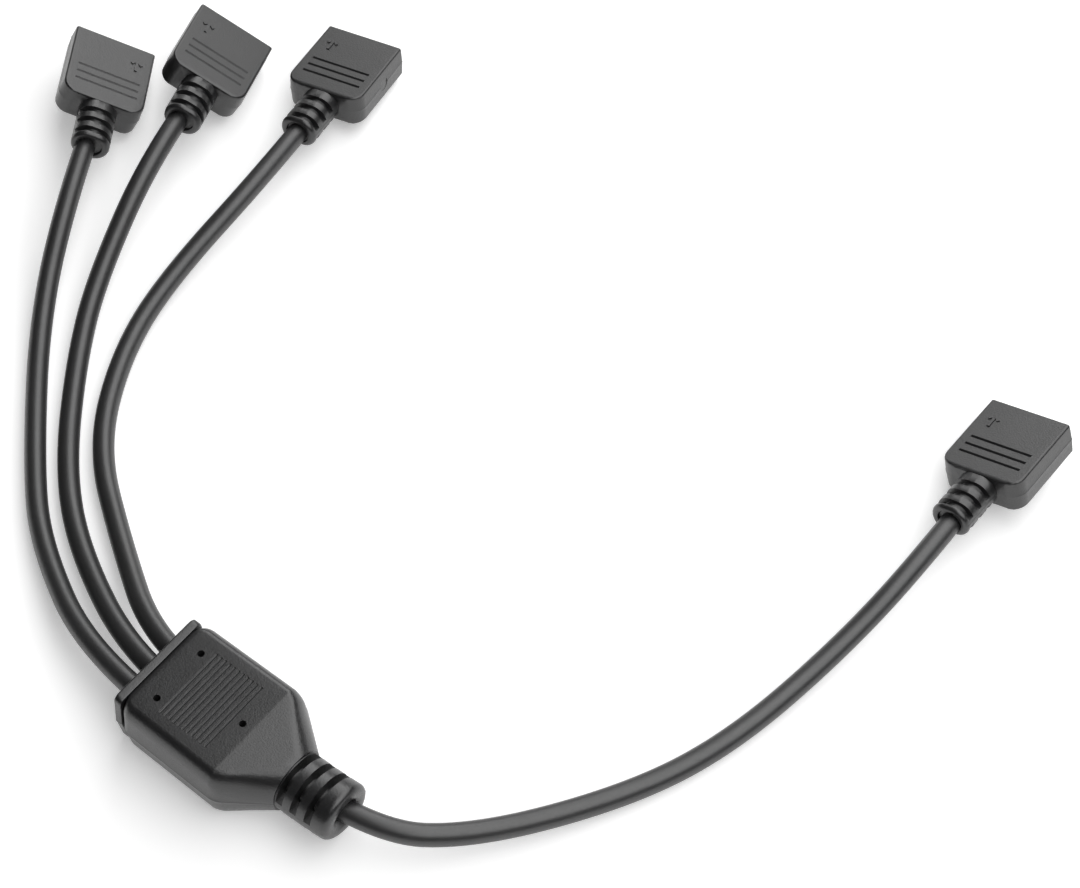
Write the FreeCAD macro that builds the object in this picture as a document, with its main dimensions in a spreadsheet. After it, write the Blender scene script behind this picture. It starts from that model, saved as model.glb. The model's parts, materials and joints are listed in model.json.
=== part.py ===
# A lighting splitter cable: one moulded hub, one input lead and three output leads,
# each lead ending in an overmoulded four-way socket plug.
# Frame: millimetres, +X along the hub from the three-lead collar to the single strain relief,
# +Z up, origin under the middle of the hub on the surface that everything lies on.

import FreeCAD
import Part
import Sketcher
import math
import os

Vector = FreeCAD.Vector
Rotation = FreeCAD.Rotation
Placement = FreeCAD.Placement

doc = FreeCAD.newDocument("splitter_cable")

# Driving dimensions

DIMENSIONS = [
    ("cord_dia", 3.5, "jacket diameter of every lead"),
    ("core_dia", 0.9, "insulated core diameter"),
    ("hub_height", 12.0, "hub, base to top"),
    ("hub_width", 20.1, "hub at the parting line, at the shoulder"),
    ("hub_back_width", 19.7, "hub at the parting line, behind the collar"),
    ("hub_draft", 6.7, "slope of the hub's sides, degrees"),
    ("hub_edge_radius", 1.9, "long edges of the hub"),
    ("hub_corner_radius", 2.0, "upright corners of the hub behind the collar"),
    ("hub_rim_radius", 0.8, "upper edge of the hub behind the collar"),
    ("flat_trim", 0.02, "skimmed off the top so that it is truly flat"),
    ("shoulder_radius", 3.5, "rounding where the hub starts to narrow"),
    ("block_length", 18.9, "hub from collar to shoulder"),
    ("neck_length", 7.05, "narrowing part of the hub"),
    ("neck_end_width", 9.9, "hub where the strain relief starts"),
    ("neck_end_height", 10.2, "hub where the strain relief starts"),
    ("neck_end_radius", 4.5, "long edges where the strain relief starts"),
    ("collar_thickness", 1.4, "collar that the output leads leave from"),
    ("collar_width", 18.5, "collar at the parting line"),
    ("collar_height", 11.4, "collar"),
    ("collar_edge_radius", 1.0, "long edges of the collar"),
    ("relief_length", 9.25, "hub strain relief"),
    ("relief_dia", 9.6, "hub strain relief"),
    ("relief_end_radius", 1.0, "rounded end of the hub strain relief"),
    ("slot_first", 0.2, "neck to the first flex slot"),
    ("slot_pitch", 2.6, "flex slots of the hub strain relief"),
    ("slot_width", 1.2, "flex slots of both kinds of strain relief"),
    ("slot_floor_dia", 5.2, "left under the hub's flex slots"),
    ("slot_angle", 144.0, "how far a flex slot reaches round, degrees"),
    ("recess_dia", 4.9, "recess round the cord at the hub strain relief"),
    ("recess_depth", 1.6, "the same recess"),
    ("grip_count", 11, "fine grooves on the hub"),
    ("grip_first", 5.6, "back of the hub to the first fine groove"),
    ("grip_pitch", 0.875, "fine grooves"),
    ("grip_width", 0.45, "one fine groove"),
    ("grip_length", 12.3, "one fine groove, across the hub"),
    ("grip_depth", 0.3, "one fine groove"),
    ("locator_dia", 1.1, "holes left by the mould's locating pins"),
    ("locator_back", 3.7, "back of the hub to the pair of locating holes"),
    ("locator_spacing", 9.4, "pair of locating holes"),
    ("locator_front", 16.2, "back of the hub to the single locating hole"),
    ("lead_spacing", 3.9, "output leads, centre to centre at the collar"),
    ("lead_grip", 6.0, "length of each output jacket inside the hub"),
    ("input_grip", 9.8, "length of the input jacket inside its strain relief"),
    ("board_length", 12.5, "junction board"),
    ("board_width", 13.0, "junction board"),
    ("board_thickness", 1.1, "junction board"),
    ("board_gap", 0.6, "output jackets to the junction board"),
    ("solder_gap", 0.1, "solder between a core and the board"),
    ("core_reach", 3.0, "length of a core over the board"),
    ("core_spread", 1.16, "cores side by side in a jacket"),
    ("plug_length", 15.65, "plug body"),
    ("plug_width", 14.5, "plug body at the parting line"),
    ("plug_height", 5.7, "plug body"),
    ("plug_draft", 3.0, "slope of the plug's sides, degrees"),
    ("plug_front_radius", 2.5, "upright corners at the cord's end of a plug"),
    ("plug_corner_radius", 0.4, "upright corners at the mating end of a plug"),
    ("plug_edge_radius", 0.4, "rim of a plug's flat faces"),
    ("tail_width", 6.5, "plug strain relief"),
    ("tail_height", 5.5, "plug strain relief"),
    ("tail_length", 8.5, "plug strain relief"),
    ("tail_draft", 0.5, "slope of the plug strain relief's sides, degrees"),
    ("tail_edge_radius", 2.6, "long edges of a plug strain relief"),
    ("tail_end_radius", 0.6, "rounded end of a plug strain relief"),
    ("tail_slot_first", 1.7, "plug body to the first flex slot"),
    ("tail_slot_pitch", 2.375, "flex slots of a plug strain relief"),
    ("tail_floor_dia", 4.4, "left under a plug's flex slots"),
    ("tail_recess_dia", 4.2, "recess round the cord at a plug strain relief"),
    ("tail_recess_depth", 0.5, "the same recess"),
    ("jacket_inset", 1.2, "length of a jacket inside a plug body"),
    ("rib_first", 3.5, "cord's end of a plug to its first finger groove"),
    ("rib_pitch", 1.725, "finger grooves"),
    ("rib_length", 11.0, "one finger groove"),
    ("rib_width", 0.45, "one finger groove"),
    ("rib_depth", 0.3, "one finger groove"),
    ("arrow_length", 2.9, "polarity arrow"),
    ("arrow_width", 1.8, "polarity arrow, across its head"),
    ("arrow_stroke", 0.36, "polarity arrow, width of its lines"),
    ("arrow_depth", 0.2, "polarity arrow"),
    ("arrow_side", 4.73, "polarity arrow, off the plug's middle"),
    ("arrow_back", 4.33, "polarity arrow, from the mating face"),
    ("pin_pitch", 2.54, "contacts of a plug"),
    ("socket_width", 10.2, "four-way socket strip"),
    ("socket_height", 2.54, "four-way socket strip"),
    ("socket_depth", 8.5, "four-way socket strip"),
    ("pin_hole", 0.9, "square pin hole in the socket strip"),
    ("pin_hole_depth", 1.2, "wall in front of a contact"),
    ("contact_size", 1.4, "square spring contact, outside"),
    ("contact_wall", 0.2, "sheet that a contact is folded from"),
    ("contact_length", 6.0, "square part of a contact"),
    ("contact_tail", 3.4, "flat tail behind a contact"),
    ("contact_tail_width", 0.6, "flat tail behind a contact"),
]

PIN_COUNT = 4
SLOT_COUNT = 3
SHOULDER_STEPS = 3
CORNER_STEPS = 3
RIB_COUNT = 3

# How each plug lies: place of its middle on the surface, heading, tip and roll in degrees.
PLUGS = {
    "left": {"x": -104.53, "y": 78.38, "heading": 36.0, "tip": -7.3, "roll": 205.8},
    "middle": {"x": -92.29, "y": 93.2, "heading": 22.8, "tip": -10.2, "roll": 27.0},
    "right": {"x": -74.65, "y": 106.42, "heading": 12.2, "tip": -7.5, "roll": -3.9},
    "input": {"x": 58.0, "y": 111.62, "heading": 0.4, "tip": -3.9, "roll": -19.1},
}

# Route of each lead between its straight ends, chosen point by point.
# hub_lead and plug_lead are the straight lengths outside the hub and outside the plug.
ROUTES = {
    "left": {
        "lane": -1,
        "hub_lead": 10.3,
        "plug_lead": 9.0,
        "points": [(-49.8, 6.4, 2.2), (-61.9, 16.8, 1.75), (-81.7, 38.8, 2.6)],
    },
    "middle": {
        "lane": 0,
        "hub_lead": 5.4,
        "plug_lead": 8.5,
        "points": [(-44.8, 9.4, 2.4), (-57.5, 19.5, 1.75), (-70.3, 35.1, 1.75), (-77.4, 48.1, 4.0)],
    },
    "right": {
        "lane": 1,
        "hub_lead": 5.0,
        "plug_lead": 9.0,
        "points": [(-41.3, 14.3, 2.5), (-55.6, 25.2, 1.75), (-65.2, 40.1, 1.75), (-69.2, 55.7, 2.6)],
    },
    "input": {
        "hub_lead": 4.7,
        "plug_lead": 8.0,
        "points": [(34.8, 9.8, 3.6), (47.0, 30.2, 1.75), (53.3, 46.6, 1.75), (56.7, 68.5, 3.0)],
    },
}
OUTPUTS = ["left", "middle", "right"]

# An arc of a lead takes this share of the shorter run beside it.
ARC_SHARE = 0.45

sheet = doc.addObject("Spreadsheet::Sheet", "dims")
for row, (alias, value, meaning) in enumerate(DIMENSIONS, start=1):
    sheet.set("A%d" % row, meaning)
    sheet.set("B%d" % row, str(value))
    sheet.setAlias("B%d" % row, alias)
doc.recompute()


def size(expression):
    """Number that an expression on the sheet gives now."""
    value = sheet.evalExpression(expression)
    return float(getattr(value, "Value", value))


def bind(thing, prop, expression):
    thing.setExpression(prop, expression)


# Shared positions along the hub, as expressions

HUB_LENGTH = "(dims.collar_thickness + dims.block_length + dims.neck_length + dims.relief_length)"
COLLAR_X = "(-%s / 2)" % HUB_LENGTH
BACK_X = "(%s + dims.collar_thickness)" % COLLAR_X
SHOULDER_X = "(%s + dims.block_length)" % BACK_X
NECK_X = "(%s + dims.neck_length)" % SHOULDER_X
RELIEF_X = "(%s + dims.relief_length)" % NECK_X
HALF_HUB = "(dims.hub_height / 2)"
BOARD_X = "(%s + dims.lead_grip + dims.board_gap)" % COLLAR_X

# Shared positions along a plug, whose own axes are X across, Y to the mating end, Z up

MATING_Y = "(dims.plug_length / 2)"
FRONT_Y = "(-dims.plug_length / 2)"
TAIL_Y = "(%s - dims.tail_length)" % FRONT_Y
JACKET_Y = "(%s + dims.jacket_inset)" % FRONT_Y
CONTACT_Y = "(%s - dims.pin_hole_depth)" % MATING_Y
CONTACT_BACK_Y = "(%s - dims.contact_length)" % CONTACT_Y
CONTACT_END_Y = "(%s - dims.contact_tail)" % CONTACT_BACK_Y
CONTACT_TAIL_Z = "(-dims.contact_size / 2 + dims.contact_wall / 2)"


# Sketch helpers

def origin_feature(body, role):
    return [item for item in body.Origin.OriginFeatures if item.Role == role][0]


def new_sketch(body, role, name, offset="0"):
    """Sketch on one of the body's own planes, moved along the plane's normal by an expression."""
    sketch = body.newObject("Sketcher::SketchObject", name)
    sketch.AttachmentSupport = [(origin_feature(body, role), "")]
    sketch.MapMode = "FlatFace"
    bind(sketch, "AttachmentOffset.Base.z", offset)
    return sketch


def constrain(sketch, kind, *where, value):
    """Dimension of a sketch, tied to an expression."""
    index = sketch.addConstraint(Sketcher.Constraint(kind, *where, size(value)))
    bind(sketch, "Constraints[%d]" % index, value)


def polygon(sketch, corners):
    """Closed outline whose corners are pairs of expressions."""
    spots = [Vector(size(x), size(y), 0) for x, y in corners]
    count = len(corners)
    first = sketch.GeometryCount
    for i in range(count):
        sketch.addGeometry(Part.LineSegment(spots[i], spots[(i + 1) % count]), False)
    for i in range(count):
        after = (i + 1) % count
        sketch.addConstraint(Sketcher.Constraint("Coincident", first + i, 2, first + after, 1))
        constrain(sketch, "DistanceX", -1, 1, first + i, 1, value=corners[i][0])
        constrain(sketch, "DistanceY", -1, 1, first + i, 1, value=corners[i][1])


def rectangle(sketch, x, y, width, height):
    """Rectangle about a middle point, all four as expressions."""
    left = "%s - (%s) / 2" % (x, width)
    right = "%s + (%s) / 2" % (x, width)
    low = "%s - (%s) / 2" % (y, height)
    high = "%s + (%s) / 2" % (y, height)
    polygon(sketch, [(left, low), (right, low), (right, high), (left, high)])


def circle(sketch, x, y, diameter):
    middle = Vector(size(x), size(y), 0)
    index = sketch.addGeometry(Part.Circle(middle, Vector(0, 0, 1), size(diameter) / 2), False)
    constrain(sketch, "DistanceX", -1, 1, index, 3, value=x)
    constrain(sketch, "DistanceY", -1, 1, index, 3, value=y)
    constrain(sketch, "Diameter", index, value=diameter)


def half_section(sketch, width, draft, height, radius):
    """Upper half of a drafted section with rounded top corners, standing on the parting plane."""
    half, tall, round_r = size(width) / 2, size(height), size(radius)
    lean = math.radians(size(draft))
    middle_x = half - (tall - round_r) * math.tan(lean) - round_r / math.cos(lean)
    middle_z = tall - round_r
    side_x = middle_x + round_r * math.cos(lean)
    side_z = middle_z + round_r * math.sin(lean)
    up = Vector(0, 0, 1)
    base = sketch.addGeometry(Part.LineSegment(Vector(-half, 0, 0), Vector(half, 0, 0)), False)
    right = sketch.addGeometry(Part.LineSegment(Vector(half, 0, 0), Vector(side_x, side_z, 0)), False)
    bend_r = sketch.addGeometry(
        Part.ArcOfCircle(Part.Circle(Vector(middle_x, middle_z, 0), up, round_r), lean, math.pi / 2), False)
    top = sketch.addGeometry(
        Part.LineSegment(Vector(middle_x, tall, 0), Vector(-middle_x, tall, 0)), False)
    bend_l = sketch.addGeometry(
        Part.ArcOfCircle(Part.Circle(Vector(-middle_x, middle_z, 0), up, round_r),
                         math.pi / 2, math.pi - lean), False)
    left = sketch.addGeometry(Part.LineSegment(Vector(-side_x, side_z, 0), Vector(-half, 0, 0)), False)
    sketch.addConstraint(Sketcher.Constraint("Coincident", base, 2, right, 1))
    sketch.addConstraint(Sketcher.Constraint("Tangent", right, 2, bend_r, 1))
    sketch.addConstraint(Sketcher.Constraint("Tangent", bend_r, 2, top, 1))
    sketch.addConstraint(Sketcher.Constraint("Tangent", top, 2, bend_l, 1))
    sketch.addConstraint(Sketcher.Constraint("Tangent", bend_l, 2, left, 1))
    sketch.addConstraint(Sketcher.Constraint("Coincident", left, 2, base, 1))
    sketch.addConstraint(Sketcher.Constraint("Symmetric", base, 1, base, 2, -2))
    sketch.addConstraint(Sketcher.Constraint("Symmetric", top, 1, top, 2, -2))
    sketch.addConstraint(Sketcher.Constraint("Equal", bend_r, bend_l))
    sketch.addConstraint(Sketcher.Constraint("PointOnObject", base, 1, -1))
    constrain(sketch, "DistanceX", base, 1, base, 2, value=width)
    constrain(sketch, "DistanceY", -1, 1, top, 1, value=height)
    constrain(sketch, "Radius", bend_r, value=radius)
    index = sketch.addConstraint(Sketcher.Constraint("Angle", right, math.pi / 2 + lean))
    bind(sketch, "Constraints[%d]" % index, "(90 + %s) * 1deg" % draft)


# Feature helpers

def pad(body, sketch, name, length, draft=None, backwards=False):
    feature = body.newObject("PartDesign::Pad", name)
    feature.Profile = sketch
    bind(feature, "Length", length)
    if draft:
        bind(feature, "TaperAngle", "-(%s)" % draft)
    feature.Reversed = backwards
    doc.recompute()
    return feature


def pocket(body, sketch, name, depth=None, backwards=False):
    """Cut into the body against the sketch's normal, or right through where no depth is given."""
    before = body.Shape.Volume
    feature = body.newObject("PartDesign::Pocket", name)
    feature.Profile = sketch
    if depth:
        bind(feature, "Length", depth)
    else:
        feature.Type = "ThroughAll"
    feature.Reversed = backwards
    doc.recompute()
    assert body.Shape.Volume < before, "%s cuts nothing" % name
    return feature


def row_of(body, feature, role, name, count, pitch):
    """Row of equal cuts along one of the body's own axes."""
    pattern = body.newObject("PartDesign::LinearPattern", name)
    pattern.Originals = [feature]
    pattern.Direction = (origin_feature(body, role), [""])
    pattern.Mode = "Spacing"
    bind(pattern, "Offset", pitch)
    if isinstance(count, str):
        bind(pattern, "Occurrences", count)
    else:
        pattern.Occurrences = count
    body.Tip = pattern
    doc.recompute()
    return pattern


def mirror_down(body, name):
    """The lower half of a moulding is the upper half seen in the parting plane."""
    mirror = body.newObject("PartDesign::Mirrored", name)
    mirror.TransformMode = "Whole shape"
    mirror.MirrorPlane = (origin_feature(body, "XY_Plane"), [""])
    body.Tip = mirror
    doc.recompute()
    return mirror


def round_edges(body, name, radius, chosen):
    """Fillet on the edges of the body's last feature that the given test picks."""
    base = body.Tip
    names = ["Edge%d" % (i + 1) for i, edge in enumerate(base.Shape.Edges) if chosen(edge)]
    assert names, "%s finds no edge" % name
    feature = body.newObject("PartDesign::Fillet", name)
    feature.Base = (base, names)
    bind(feature, "Radius", radius)
    doc.recompute()
    return feature


def flex_slots(body, name, first, floor_dia, outer, pitch, role, plane, sign):
    """Three slots round the top of a strain relief, leaving a spine along each side."""
    sketch = new_sketch(body, plane, name + "_profile")
    near = first
    far = "%s + (%d) * dims.slot_width" % (first, sign)
    polygon(sketch, [
        (near, "%s / 2" % floor_dia),
        (far, "%s / 2" % floor_dia),
        (far, outer),
        (near, outer),
    ])
    before = body.Shape.Volume
    groove = body.newObject("PartDesign::Groove", name)
    groove.Profile = sketch
    groove.ReferenceAxis = (sketch, ["H_Axis"])
    groove.Midplane = True
    bind(groove, "Angle", "dims.slot_angle")
    doc.recompute()
    assert body.Shape.Volume < before, "%s cuts nothing" % name
    pattern = row_of(body, groove, role, name + "_row", SLOT_COUNT, pitch)
    pattern.Reversed = sign < 0
    doc.recompute()
    return pattern


def on_plane(edge, axis, value, tolerance=1e-4):
    """Whether both ends of an edge lie at a value of one coordinate."""
    return all(abs(getattr(vertex.Point, axis) - value) < tolerance for vertex in edge.Vertexes)


def cut_away(base, tools, name):
    """Take other pieces out of a moulding, so that it closes round them face to face."""
    group = doc.addObject("Part::Compound", name + "_tools")
    group.Links = tools
    cut = doc.addObject("Part::Cut", name)
    cut.Base = base
    cut.Tool = group
    doc.recompute()
    return cut


nodes = {}


def keep(node, thing):
    """Name a finished sub-part."""
    thing.Label = node
    nodes[node] = thing


# Hub

def make_hub_form():
    """Outside of the hub: block, neck, collar, strain relief, grooves and bores."""
    body = doc.addObject("PartDesign::Body", "hub_form")
    sections = []

    def section(x, width, draft, height, radius):
        name = "hub_section_%d" % (len(sections) + 1)
        sketch = new_sketch(body, "YZ_Plane", name, x)
        half_section(sketch, width, draft, height, radius)
        sections.append(sketch)

    # The upright corners behind the collar are rounded in equal steps of a quarter circle,
    # and the upper edge there has its own smaller rounding.
    full_height = "(%s + dims.flat_trim)" % HALF_HUB
    for step in range(CORNER_STEPS + 1):
        angle = "(90 deg * %d / %d)" % (step, CORNER_STEPS)
        along = "(dims.hub_corner_radius * (1 - cos(%s)))" % angle
        inset = "(dims.hub_corner_radius * (1 - sin(%s)))" % angle
        left = "max(0; 1 - %s / dims.hub_rim_radius)" % along
        drop = "dims.hub_rim_radius * (1 - sqrt(1 - %s ^ 2))" % left
        section("%s + %s" % (BACK_X, along), "dims.hub_back_width - 2 * %s" % inset, "dims.hub_draft",
                "%s - %s" % (full_height, drop), "dims.hub_edge_radius")

    # The shoulder is rounded in equal steps between the block and the neck.
    turn = "atan((dims.hub_width - dims.neck_end_width) / 2 / dims.neck_length)"
    for step in range(SHOULDER_STEPS + 1):
        part_turn = "(%s * %d / %d)" % (turn, step, SHOULDER_STEPS)
        x = "(%s - dims.shoulder_radius * (tan(%s / 2) - sin(%s)))" % (SHOULDER_X, turn, part_turn)
        along = "max(0; (%s - %s) / dims.neck_length)" % (x, SHOULDER_X)
        section(x, "dims.hub_width - 2 * dims.shoulder_radius * (1 - cos(%s))" % part_turn,
                "dims.hub_draft * (1 - %s)" % along,
                "%s - (dims.hub_height - dims.neck_end_height) / 2 * %s" % (full_height, along),
                "dims.hub_edge_radius + (dims.neck_end_radius - dims.hub_edge_radius) * %s" % along)
    section(NECK_X, "dims.neck_end_width", "dims.hub_draft / 8", "dims.neck_end_height / 2",
            "dims.neck_end_radius")
    loft = body.newObject("PartDesign::AdditiveLoft", "hub_block")
    loft.Profile = sections[0]
    loft.Sections = sections[1:]
    loft.Ruled = True
    doc.recompute()
    flat = new_sketch(body, "XY_Plane", "hub_flat_outline", HALF_HUB)
    rectangle(flat, "0", "0", HUB_LENGTH, "dims.hub_width")
    pocket(body, flat, "hub_flat", "2 * dims.flat_trim", backwards=True)

    collar = new_sketch(body, "YZ_Plane", "collar_section", COLLAR_X)
    half_section(collar, "dims.collar_width", "dims.hub_draft", "dims.collar_height / 2",
                 "dims.collar_edge_radius")
    pad(body, collar, "collar", "dims.collar_thickness")

    relief = new_sketch(body, "YZ_Plane", "relief_section", "%s - dims.neck_length / 8" % NECK_X)
    radius = size("dims.relief_dia / 2")
    arc = relief.addGeometry(
        Part.ArcOfCircle(Part.Circle(Vector(0, 0, 0), Vector(0, 0, 1), radius), 0, math.pi), False)
    chord = relief.addGeometry(Part.LineSegment(Vector(-radius, 0, 0), Vector(radius, 0, 0)), False)
    relief.addConstraint(Sketcher.Constraint("Coincident", arc, 3, -1, 1))
    relief.addConstraint(Sketcher.Constraint("Coincident", arc, 2, chord, 1))
    relief.addConstraint(Sketcher.Constraint("Coincident", arc, 1, chord, 2))
    relief.addConstraint(Sketcher.Constraint("Horizontal", chord))
    constrain(relief, "Radius", arc, value="dims.relief_dia / 2")
    pad(body, relief, "relief", "dims.relief_length + dims.neck_length / 8")
    relief_x = size(RELIEF_X)
    round_edges(body, "relief_end_round", "dims.relief_end_radius",
                lambda edge: on_plane(edge, "x", relief_x) and not isinstance(edge.Curve, Part.Line))
    flex_slots(body, "relief_slot", "%s + dims.slot_first" % NECK_X, "dims.slot_floor_dia",
               "dims.relief_dia", "dims.slot_pitch", "X_Axis", "XZ_Plane", 1)

    grip = new_sketch(body, "XY_Plane", "grip_outline", HALF_HUB)
    rectangle(grip, "%s + dims.grip_first" % BACK_X, "0", "dims.grip_width", "dims.grip_length")
    groove = pocket(body, grip, "grip_groove", "dims.grip_depth")
    row_of(body, groove, "X_Axis", "grip_row", "dims.grip_count", "dims.grip_pitch")

    locators = new_sketch(body, "XY_Plane", "locator_outline", HALF_HUB)
    pair_x = "%s + dims.locator_back" % BACK_X
    circle(locators, pair_x, "-dims.locator_spacing / 2", "dims.locator_dia")
    circle(locators, pair_x, "dims.locator_spacing / 2", "dims.locator_dia")
    circle(locators, "%s + dims.locator_front" % BACK_X, "0", "dims.locator_dia")
    pocket(body, locators, "locator_holes", HALF_HUB)
    mirror_down(body, "hub_lower_half")

    bores = new_sketch(body, "YZ_Plane", "lead_bores_outline", COLLAR_X)
    for lane in (-1, 0, 1):
        circle(bores, "%d * dims.lead_spacing" % lane, "0", "dims.cord_dia")
    pocket(body, bores, "lead_bores", "dims.lead_grip", backwards=True)
    bore = new_sketch(body, "YZ_Plane", "input_bore_outline", RELIEF_X)
    circle(bore, "0", "0", "dims.cord_dia")
    pocket(body, bore, "input_bore", "dims.input_grip")
    recess = new_sketch(body, "YZ_Plane", "relief_recess_outline", RELIEF_X)
    circle(recess, "0", "0", "dims.recess_dia")
    pocket(body, recess, "relief_recess", "dims.recess_depth")
    bind(body, "Placement.Base.z", HALF_HUB)
    doc.recompute()
    return body


def make_board():
    board = doc.addObject("Part::Box", "hub_board")
    bind(board, "Length", "dims.board_length")
    bind(board, "Width", "dims.board_width")
    bind(board, "Height", "dims.board_thickness")
    bind(board, "Placement.Base.x", BOARD_X)
    bind(board, "Placement.Base.y", "-dims.board_width / 2")
    bind(board, "Placement.Base.z", "(dims.hub_height - dims.board_thickness) / 2")
    return board


def make_hub_cores(name, start_x, length, lane):
    """Four straight core ends, two on each side of the board."""
    rise = "(dims.board_thickness / 2 + dims.solder_gap + dims.core_dia / 2)"
    cores = []
    for row in (-1, 1):
        for side in (-1, 1):
            core = doc.addObject("Part::Cylinder", "hub_core_%s_%d" % (name, len(cores) + 1))
            bind(core, "Radius", "dims.core_dia / 2")
            bind(core, "Height", length)
            core.Placement = Placement(Vector(), Rotation(Vector(0, 1, 0), 90))
            bind(core, "Placement.Base.x", start_x)
            bind(core, "Placement.Base.y",
                 "%d * dims.lead_spacing + %d * dims.core_spread / 2" % (lane, side))
            bind(core, "Placement.Base.z", "%s + %d * %s" % (HALF_HUB, row, rise))
            cores.append(core)
    group = doc.addObject("Part::Compound", "hub_cores_%s" % name)
    group.Links = cores
    doc.recompute()
    return group


hub_form = make_hub_form()
hub_board = make_board()
hub_cores = []
for output in OUTPUTS:
    lane = ROUTES[output]["lane"]
    hub_cores.append(make_hub_cores(output, "%s + dims.lead_grip" % COLLAR_X,
                                    "dims.board_gap + dims.core_reach", lane))
board_end = "(%s + dims.board_length - dims.core_reach)" % BOARD_X
hub_cores.append(make_hub_cores("input", board_end,
                                "%s - dims.input_grip - %s" % (RELIEF_X, board_end), 0))
hub_round_board = cut_away(hub_form, [hub_board], "hub_round_board")
hub_housing = cut_away(hub_round_board, hub_cores, "hub_housing")
keep("hub_housing", hub_housing)
keep("hub_board", hub_board)
for group in hub_cores:
    keep(group.Name, group)


# Plug, modelled once in its own axes and then laid down four times

def make_plug_form():
    """Outside of a plug: drafted body, finger grooves, arrow, strain relief, bore and socket bay."""
    body = doc.addObject("PartDesign::Body", "plug_form")
    plan = new_sketch(body, "XY_Plane", "plug_plan")
    # The plan runs past the mating face, which is then cut square.
    rectangle(plan, "0", "dims.plug_corner_radius", "dims.plug_width",
              "dims.plug_length + 2 * dims.plug_corner_radius")
    pad(body, plan, "plug_block", "dims.plug_height / 2", draft="dims.plug_draft")
    face = new_sketch(body, "XZ_Plane", "plug_face", "-(%s)" % MATING_Y)
    rectangle(face, "0", "0", "2 * dims.plug_width", "2 * dims.plug_height")
    pocket(body, face, "plug_mating_face")

    def upright(edge, end):
        tall = edge.BoundBox.ZLength > size("dims.plug_height / 4")
        return tall and edge.BoundBox.Center.y * end > 0

    round_edges(body, "plug_front_round", "dims.plug_front_radius", lambda edge: upright(edge, -1))
    round_edges(body, "plug_corner_round", "dims.plug_corner_radius", lambda edge: upright(edge, 1))
    top_z = size("dims.plug_height / 2")
    round_edges(body, "plug_rim", "dims.plug_edge_radius", lambda edge: on_plane(edge, "z", top_z))

    ribs = new_sketch(body, "XY_Plane", "plug_rib_outline", "dims.plug_height / 2")
    rectangle(ribs, "0", "%s + dims.rib_first" % FRONT_Y, "dims.rib_length", "dims.rib_width")
    groove = pocket(body, ribs, "plug_rib", "dims.rib_depth")
    row_of(body, groove, "Y_Axis", "plug_ribs", RIB_COUNT, "dims.rib_pitch")

    arrow = new_sketch(body, "XY_Plane", "plug_arrow_outline", "dims.plug_height / 2")
    middle = "(%s - dims.arrow_back)" % MATING_Y
    tip = "(%s + dims.arrow_length / 2)" % middle
    # The head's lines run at 45 degrees, so a stroke measured square to them is 0.7 of it each way.
    barb = "(%s - dims.arrow_width / 2)" % tip
    slant = "(dims.arrow_stroke * cos(45 deg))"
    join = "(%s - dims.arrow_stroke / 2 - 2 * %s)" % (tip, slant)
    stem = "(%s - dims.arrow_length / 2)" % middle
    across = [
        ("0", tip),
        ("dims.arrow_width / 2", barb),
        ("(dims.arrow_width / 2 - %s)" % slant, "%s - %s" % (barb, slant)),
        ("dims.arrow_stroke / 2", join),
        ("dims.arrow_stroke / 2", stem),
    ]
    outline = [("-dims.arrow_side + %s" % x, y) for x, y in across]
    outline += [("-dims.arrow_side - %s" % x, y) for x, y in reversed(across[1:])]
    polygon(arrow, outline)
    pocket(body, arrow, "plug_arrow", "dims.arrow_depth")

    tail = new_sketch(body, "XZ_Plane", "plug_tail_section", "-(%s) - dims.plug_front_radius" % FRONT_Y)
    half_section(tail, "dims.tail_width", "dims.tail_draft", "dims.tail_height / 2", "dims.tail_edge_radius")
    pad(body, tail, "plug_tail", "dims.tail_length + dims.plug_front_radius")
    tail_y = size(TAIL_Y)
    round_edges(body, "plug_tail_end", "dims.tail_end_radius",
                lambda edge: on_plane(edge, "y", tail_y) and not on_plane(edge, "z", 0))
    flex_slots(body, "plug_slot", "%s - dims.tail_slot_first" % FRONT_Y, "dims.tail_floor_dia",
               "dims.tail_width", "dims.tail_slot_pitch", "Y_Axis", "YZ_Plane", -1)
    mirror_down(body, "plug_lower_half")

    bore = new_sketch(body, "XZ_Plane", "plug_bore_outline", "-(%s)" % TAIL_Y)
    circle(bore, "0", "0", "dims.cord_dia")
    pocket(body, bore, "plug_bore", "dims.tail_length + dims.jacket_inset")
    recess = new_sketch(body, "XZ_Plane", "plug_recess_outline", "-(%s)" % TAIL_Y)
    circle(recess, "0", "0", "dims.tail_recess_dia")
    pocket(body, recess, "plug_recess", "dims.tail_recess_depth")
    bay = new_sketch(body, "XZ_Plane", "plug_bay_outline", "-(%s)" % MATING_Y)
    rectangle(bay, "0", "0", "dims.socket_width", "dims.socket_height")
    pocket(body, bay, "plug_bay", "dims.socket_depth", backwards=True)
    return body


def contact_x(index):
    """Place of a contact across the plug, as an expression."""
    return "(%s) * dims.pin_pitch" % (index - (PIN_COUNT - 1) / 2)


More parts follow.
